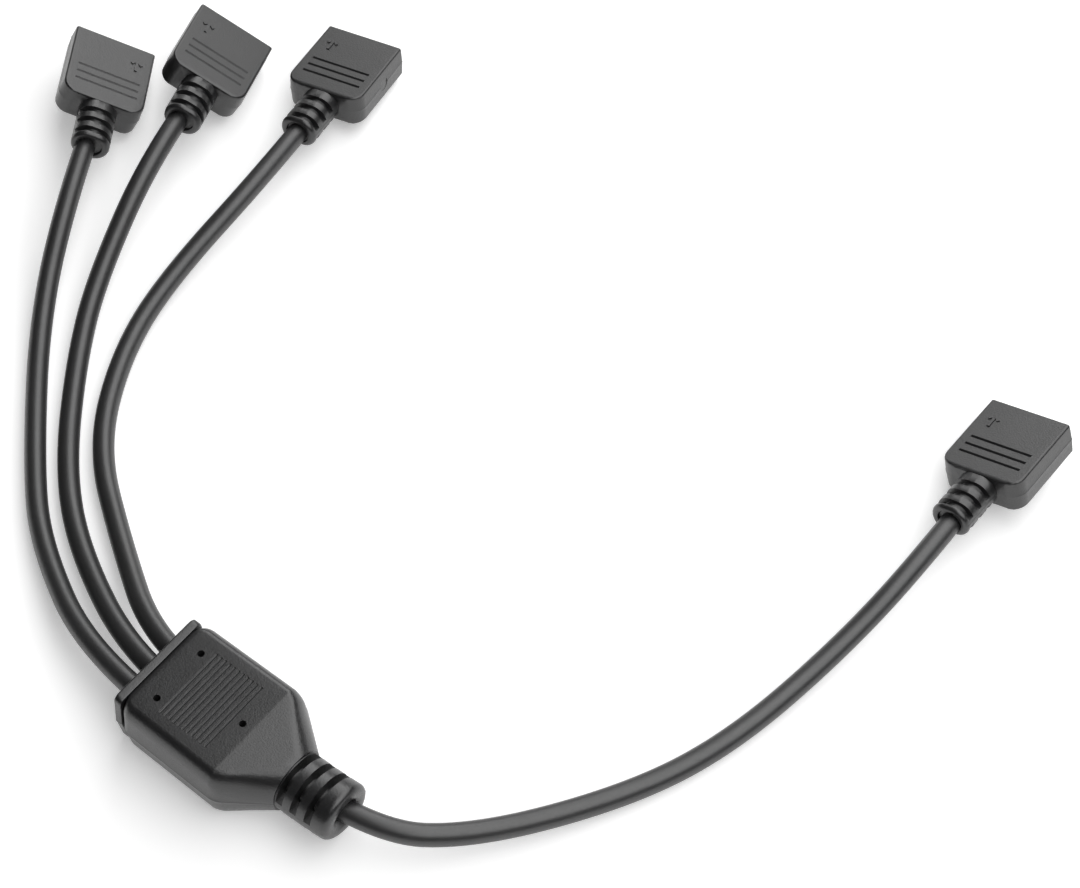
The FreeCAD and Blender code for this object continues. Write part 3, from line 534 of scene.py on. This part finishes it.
def bay_rings():
    """The flat bay for the socket strip, sunk into the mating face."""
    return [section(along, BAY_HALF, BAY_HALF_HEIGHT, BAY_EDGE, 0.0)
            for along in (PLUG_HALF_LENGTH, PLUG_HALF_LENGTH - BAY_DEPTH)]


plug_model = ring_skin("plug_model", tail_rings() + body_rings() + bay_rings(),
                       lambda along, a, b: (a, along, b))
print("plug skin:", len(plug_model.data.polygons), "faces")

# %% [markdown]
# ## Marks on the plugs
# Both faces of a plug have three finger grooves and a small raised arrow that shows which way round it goes.
# The arrow could be a letter of a sign font or a curve. An outline of a few points, extruded into a block, is
# simple and closed, and a Boolean makes it one with the body. The right plug also has the round mark of the
# mould's gate on its side.

# %% raised arrow
ARROW_SIDE, ARROW_MIDDLE, ARROW_LENGTH, ARROW_WIDTH = -4.25, 3.495, 2.9, 2.2
ARROW_STROKE, ARROW_HEIGHT = 0.5, 0.18


def arrow_outline():
    """Half of a line arrow, from its tip to the foot of its stem, and the other half mirrored."""
    slant = ARROW_STROKE * math.cos(math.radians(45.0))
    tip = ARROW_MIDDLE + ARROW_LENGTH / 2
    barb = tip - ARROW_WIDTH / 2
    half = [
        (0.0, tip), (ARROW_WIDTH / 2, barb), (ARROW_WIDTH / 2 - slant, barb - slant),
        (ARROW_STROKE / 2, tip - ARROW_STROKE / 2 - 2 * slant), (ARROW_STROKE / 2, tip - ARROW_LENGTH),
    ]
    return half + [(-x, y) for x, y in reversed(half[1:])]


def raised_arrow(surface):
    """The arrow's outline, extruded into a block that stands half out of the surface."""
    outline = arrow_outline()
    bpy.ops.object.select_all(action="DESELECT")
    bpy.ops.mesh.primitive_circle_add(vertices=len(outline), radius=MM, fill_type="NGON")
    arrow = bpy.context.object
    arrow.name = "arrow"
    for vert, (x, y) in zip(arrow.data.vertices, reversed(outline)):
        vert.co = Vector((ARROW_SIDE + x, y, surface - ARROW_HEIGHT)) * MM
    bpy.ops.object.mode_set(mode="EDIT")
    bpy.ops.mesh.select_all(action="SELECT")
    bpy.ops.mesh.extrude_region_move(TRANSFORM_OT_translate={"value": (0.0, 0.0, 2 * ARROW_HEIGHT * MM)})
    bpy.ops.mesh.select_all(action="SELECT")
    bpy.ops.mesh.normals_make_consistent(inside=False)
    bpy.ops.object.mode_set(mode="OBJECT")
    return arrow


print("points of the arrow:", len(arrow_outline()))

# %% cut and mark the plugs
RIB_FIRST, RIB_PITCH, RIB_COUNT = 3.5, 1.725, 3
RIB_WIDTH, RIB_LENGTH, RIB_DEPTH = 0.5, 11.0, 0.28
GATE_PLACE, GATE_RADIUS, GATE_DEPTH = (PLUG_HALF, 1.1, 0.0), 1.15, 0.1


def gate_cutter():
    """A flat pin on its side, for the round mark of the mould's gate."""
    pin = pin_cutter("gate_mark", (0.0, 0.0, 0.0), GATE_RADIUS, 2 * GATE_DEPTH)
    on_side = Matrix.Rotation(math.radians(90.0), 4, "Y")
    pin.data.transform(Matrix.Translation(Vector(GATE_PLACE) * MM) @ on_side)
    return pin


def finish_plug(model, cutters):
    """Cut the finger grooves and what else is handed in, raise the arrows, then take the sharpness off."""
    arrows = []
    for top in (1, -1):
        surface = top * PLUG_HALF_HEIGHT
        for row in range(RIB_COUNT):
            along = RIB_FIRST + row * RIB_PITCH - PLUG_HALF_LENGTH
            cutters.append(groove_cutter("finger_groove", (0.0, along, surface),
                                         (RIB_LENGTH, RIB_WIDTH, 2 * RIB_DEPTH), "X"))
        arrows.append(raised_arrow(surface))
    combine(model, cutters, "DIFFERENCE")
    combine(model, arrows, "UNION")
    soften(model, width=0.08, angle=35.0, segments=2, crisp=50.0)


select_only(plug_model)
bpy.ops.object.duplicate()
marked_model = bpy.context.object
marked_model.name = "marked_plug_model"
finish_plug(plug_model, [])
finish_plug(marked_model, [gate_cutter()])

# %% [markdown]
# ## Four plugs on the table
# Each plug lies in its own way, turned, tipped and rolled by its stiff lead. The copies could be turned as
# objects. Their turns go into their meshes instead, so that every object stays at the origin and the grain of
# its finish sits still.

# %% lay the four plugs down
PLUG_LIES = {
    "left": {"place": (-104.53, 78.38, 6.433), "heading": 36.0, "tip": -7.3, "roll": 205.8},
    "middle": {"place": (-92.29, 93.2, 6.866), "heading": 22.8, "tip": -10.2, "roll": 27.0},
    "right": {"place": (-74.65, 106.42, 4.245), "heading": 12.2, "tip": -7.5, "roll": -3.9},
    "input": {"place": (58.0, 111.62, 5.409), "heading": 0.4, "tip": -3.9, "roll": -19.1},
}
plugs = {}
for name, lie in PLUG_LIES.items():
    turn = Matrix.Rotation(math.radians(lie["heading"]), 4, "Z")
    turn = turn @ Matrix.Rotation(math.radians(lie["tip"]), 4, "X")
    turn = turn @ Matrix.Rotation(math.radians(lie["roll"]), 4, "Y")
    mesh = (marked_model if name == "right" else plug_model).data.copy()
    mesh.name = "plug_moulding_" + name
    mesh.transform(Matrix.Translation(Vector(lie["place"]) * MM) @ turn)
    plugs[name] = bpy.data.objects.new("plug_moulding_" + name, mesh)
    bpy.context.collection.objects.link(plugs[name])
bpy.data.objects.remove(plug_model)
bpy.data.objects.remove(marked_model)
print("plugs:", sorted(plugs))

# %% [markdown]
# ## Plastics
# Every moulding is soft black PVC. The mould was spark-eroded, so the skin has a fine even grain that
# scatters light: close up its bumps are about a quarter of a millimetre across, and from afar it reads as a
# dull grey sheen. The jackets are extruded and smoother, so they keep a longer, softer highlight. A plain
# grey would show neither, and a picture of the grain would need a flat map of each piece, so noise on the
# object's own coordinates makes it.

# %% noise, ranges and tints
NOISE_LOW, NOISE_HIGH = 0.3, 0.7


def new_finish(name):
    """A new material, its node tree and its shader."""
    finish = bpy.data.materials.new(name)
    finish.use_nodes = True
    return finish, finish.node_tree, finish.node_tree.nodes["Principled BSDF"]


def noise(tree, coordinates, scale, detail):
    texture = tree.nodes.new("ShaderNodeTexNoise")
    texture.inputs["Scale"].default_value = scale
    texture.inputs["Detail"].default_value = detail
    tree.links.new(coordinates, texture.inputs["Vector"])
    return texture.outputs["Fac"]


def ranged(tree, value, low, high):
    """The middle range of a noise, spread over low to high."""
    node = tree.nodes.new("ShaderNodeMapRange")
    node.inputs["From Min"].default_value = NOISE_LOW
    node.inputs["From Max"].default_value = NOISE_HIGH
    node.inputs["To Min"].default_value = low
    node.inputs["To Max"].default_value = high
    tree.links.new(value, node.inputs["Value"])
    return node.outputs["Result"]


def tint(tree, shader, value, dark, light):
    """Let a noise move the shader's colour between two tints."""
    mix = tree.nodes.new("ShaderNodeMix")
    mix.data_type = "RGBA"
    mix.inputs["A"].default_value = (*dark, 1.0)
    mix.inputs["B"].default_value = (*light, 1.0)
    tree.links.new(ranged(tree, value, 0.0, 1.0), mix.inputs["Factor"])
    tree.links.new(mix.outputs["Result"], shader.inputs["Base Color"])


print("noise is read between", NOISE_LOW, "and", NOISE_HIGH)

# %% grained plastics
BLOTCH_SCALE, BLOTCH_DETAIL, GRAIN_DETAIL = 160.0, 4.0, 3.0


def grained_plastic(name, dark, light, gloss, grain, depth, sheen=0.5):
    """Moulded plastic: a fine grain in the bump and the gloss, and slow changes of shade."""
    finish, tree, shader = new_finish(name)
    shader.inputs["Specular IOR Level"].default_value = sheen
    coordinates = tree.nodes.new("ShaderNodeTexCoord").outputs["Object"]
    tint(tree, shader, noise(tree, coordinates, BLOTCH_SCALE, BLOTCH_DETAIL), dark, light)
    fine = noise(tree, coordinates, grain, GRAIN_DETAIL)
    tree.links.new(ranged(tree, fine, *gloss), shader.inputs["Roughness"])
    bump = tree.nodes.new("ShaderNodeBump")
    bump.inputs["Strength"].default_value = 1.0
    bump.inputs["Distance"].default_value = depth * MM
    tree.links.new(fine, bump.inputs["Height"])
    tree.links.new(bump.outputs["Normal"], shader.inputs["Normal"])
    return finish


moulded_pvc = grained_plastic("moulded_pvc", (0.011, 0.011, 0.0115), (0.015, 0.015, 0.0155),
                              gloss=(0.28, 0.40), grain=3800.0, depth=0.026, sheen=0.85)
jacket_pvc = grained_plastic("jacket_pvc", (0.016, 0.016, 0.0165), (0.02, 0.02, 0.0205),
                             gloss=(0.37, 0.47), grain=2600.0, depth=0.006, sheen=1.0)
socket_plastic = grained_plastic("socket_plastic", (0.018, 0.018, 0.018), (0.024, 0.024, 0.025),
                                 gloss=(0.35, 0.5), grain=4000.0, depth=0.01)
core_vinyl = grained_plastic("core_vinyl", (0.10, 0.10, 0.10), (0.13, 0.13, 0.13),
                             gloss=(0.35, 0.45), grain=2600.0, depth=0.005)
board_epoxy = grained_plastic("board_epoxy", (0.02, 0.08, 0.035), (0.03, 0.11, 0.05),
                              gloss=(0.3, 0.4), grain=3000.0, depth=0.005)
plastics = (moulded_pvc, jacket_pvc, socket_plastic, core_vinyl, board_epoxy)
print("plastics:", [finish.name for finish in plastics])

# %% [markdown]
# ## Brass
# The spring contacts are punched from rolled brass, which has a fine grain along the strip. An anisotropic
# gloss would need a direction on every face. A noise that is stretched along the strip is simpler, and enough
# for pieces that hide inside the plugs.

# %% spring brass
BRASS_STRETCH = (6000.0, 900.0, 6000.0)
BRASS_DARK, BRASS_LIGHT = (0.66, 0.50, 0.24), (0.80, 0.66, 0.38)
BRASS_GLOSS = (0.18, 0.34)


def rolled_brass():
    """Spring brass: a rolled grain along the strip and a slightly uneven tint."""
    finish, tree, shader = new_finish("spring_brass")
    shader.inputs["Metallic"].default_value = 1.0
    stretch = tree.nodes.new("ShaderNodeMapping")
    stretch.inputs["Scale"].default_value = BRASS_STRETCH
    tree.links.new(tree.nodes.new("ShaderNodeTexCoord").outputs["Object"], stretch.inputs["Vector"])
    grain = noise(tree, stretch.outputs["Vector"], 1.0, GRAIN_DETAIL)
    tint(tree, shader, grain, BRASS_DARK, BRASS_LIGHT)
    tree.links.new(ranged(tree, grain, *BRASS_GLOSS), shader.inputs["Roughness"])
    return finish


spring_brass = rolled_brass()
print("brass:", spring_brass.name)

# %% [markdown]
# ## Putting the finishes on
# The frame's record names a material slot for every solid. Each could be dressed by its own name, but a
# table from slots to finishes does it in one loop, so none is forgotten. The new skins and leads have loops of
# their own.

# %% put the finishes on
SLOT_FINISHES = {
    "moulded_pvc": moulded_pvc, "cord_jacket": jacket_pvc, "socket_plastic": socket_plastic,
    "contact_brass": spring_brass, "core_insulation": core_vinyl, "board": board_epoxy,
}


def dress(piece, finish):
    piece.data.materials.clear()
    piece.data.materials.append(finish)


for row in frame["record"]["subparts"]:
    dress(nodes[row["node"]], SLOT_FINISHES[row["material_slot"]])
for lead in leads.values():
    dress(lead, jacket_pvc)
for moulding in (hub, *plugs.values()):
    dress(moulding, moulded_pvc)
print("dressed:", len(nodes), "solids,", len(leads), "leads and", 1 + len(plugs), "mouldings")

# %% [markdown]
# ## The table
# The cable lies on a plain white table. More light would make the floor white but wash out the black plastic.
# So the floor is pale paint that takes the real shadows, and it glows a little where it is seen, directly or
# in a reflection, so that only the deep part of a shadow shows.

# %% floor
FLOOR_SIDE, FLOOR_DROP, FLOOR_GLOW = 8000.0, 0.2, 0.34
FLOOR_WHITE, FLOOR_ROUGHNESS = 0.93, 0.9


def seen_floor(tree):
    """1 for rays from the camera, a glossy surface or a clear one, and 0 for all others."""
    ray = tree.nodes.new("ShaderNodeLightPath")
    seen = ray.outputs["Is Camera Ray"]
    for kind in ("Is Glossy Ray", "Is Transmission Ray"):
        either = tree.nodes.new("ShaderNodeMath")
        either.operation = "MAXIMUM"
        tree.links.new(seen, either.inputs[0])
        tree.links.new(ray.outputs[kind], either.inputs[1])
        seen = either.outputs["Value"]
    return seen


def glowing_paint():
    finish, tree, paint = new_finish("floor_paint")
    paint.inputs["Base Color"].default_value = (FLOOR_WHITE, FLOOR_WHITE, FLOOR_WHITE, 1.0)
    paint.inputs["Roughness"].default_value = FLOOR_ROUGHNESS
    paint.inputs["Specular IOR Level"].default_value = 0.0
    strength = tree.nodes.new("ShaderNodeMath")
    strength.operation = "MULTIPLY"
    strength.inputs[1].default_value = FLOOR_GLOW
    tree.links.new(seen_floor(tree), strength.inputs[0])
    glow = tree.nodes.new("ShaderNodeEmission")
    tree.links.new(strength.outputs["Value"], glow.inputs["Strength"])
    together = tree.nodes.new("ShaderNodeAddShader")
    tree.links.new(paint.outputs["BSDF"], together.inputs[0])
    tree.links.new(glow.outputs["Emission"], together.inputs[1])
    tree.links.new(together.outputs["Shader"], tree.nodes["Material Output"].inputs["Surface"])
    return finish


bpy.ops.object.select_all(action="DESELECT")
bpy.ops.mesh.primitive_plane_add(size=FLOOR_SIDE * MM, location=(0.0, 0.0, -FLOOR_DROP * MM))
floor = bpy.context.object
floor.name = "floor"
dress(floor, glowing_paint())
print("floor glow:", FLOOR_GLOW)

# %% [markdown]
# ## The light
# A long soft lamp hangs overhead and to the right, and another stands upright behind the plugs. The side of
# the camera stays dark, so the edges that face it are nearly black. One lamp would be simpler, but with two
# the light on the far sides can be set by itself.

# %% room
ROOM_LIGHT = 0.05
world = bpy.data.worlds.new("studio")
world.use_nodes = True
bpy.context.scene.world = world
room = world.node_tree.nodes["Background"]
room.inputs["Color"].default_value = (1.0, 1.0, 1.0, 1.0)
room.inputs["Strength"].default_value = ROOM_LIGHT
bpy.context.scene.view_settings.view_transform = "Standard"
print("room light:", ROOM_LIGHT)

# %% lamps
# The picture's left-to-right direction is turned this far from +X, and the lamps are turned with it.
PICTURE_TURN = 38.75
LAMPS = {
    "overhead_panel": {"place": (-60.0, 690.0, 600.0), "lean": 0.0, "sides": (800.0, 2250.0), "power": 13.2},
    "back_panel": {"place": (-939.0, 1042.0, 650.0), "lean": 90.0, "sides": (1200.0, 700.0), "power": 2.0},
}
for name, lamp in LAMPS.items():
    turn = (math.radians(-lamp["lean"]), 0.0, math.radians(PICTURE_TURN))
    bpy.ops.object.light_add(type="AREA", location=Vector(lamp["place"]) * MM, rotation=turn)
    light = bpy.context.object
    light.name = name
    light.data.shape = "RECTANGLE"
    light.data.size, light.data.size_y = Vector(lamp["sides"]) * MM
    light.data.energy = lamp["power"]
    shines = light.rotation_euler.to_matrix() @ Vector((0.0, 0.0, -1.0))
    print(name, "shines along", tuple(round(value, 2) for value in shines))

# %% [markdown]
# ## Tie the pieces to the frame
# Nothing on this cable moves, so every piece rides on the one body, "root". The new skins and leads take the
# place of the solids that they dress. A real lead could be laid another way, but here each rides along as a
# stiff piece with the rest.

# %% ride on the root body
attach(hub, "root")
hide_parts("hub_housing")
for name, plug in plugs.items():
    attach(plug, "root")
    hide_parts("plug_%s_housing" % name)
for name, lead in leads.items():
    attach(lead, "root")
    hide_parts("cord_" + name)
print("declared:", len(leads), "leads")
